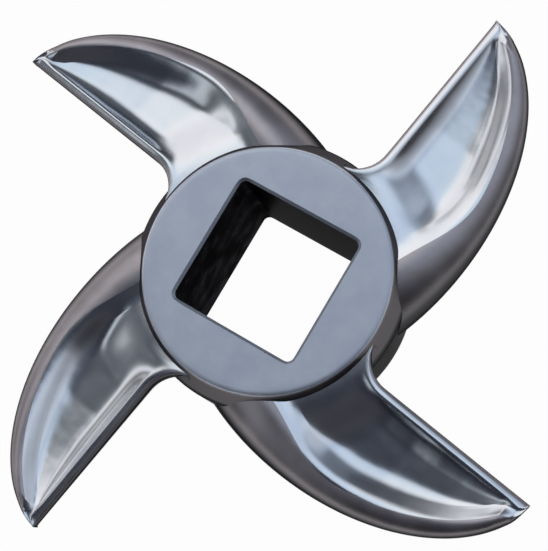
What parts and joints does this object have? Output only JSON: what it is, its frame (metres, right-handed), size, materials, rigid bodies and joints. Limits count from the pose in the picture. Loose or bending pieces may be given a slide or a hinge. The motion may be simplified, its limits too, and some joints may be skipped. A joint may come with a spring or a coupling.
{
  "type": "meat grinder knife",
  "caption": "Sickle-bladed cutting knife for a meat grinder: a thick round hub with a square through bore, and hollow-ground curved blades with straight leading edges.",
  "frame": {"origin": "on the hub's axis, at the hub's back face", "axes": "+Z along the hub's axis towards the cutting side, +X and +Y square to the sides of the bore"},
  "size_m": [0.092, 0.092, 0.022],
  "materials": {
    "knife_steel": "cast stainless steel, hub faces ground matt, scoops polished bright, back rims satin, square bore dark"
  },
  "bodies": {
    "root": {"grinder_knife": "knife_steel"}
  },
  "joints": []
}
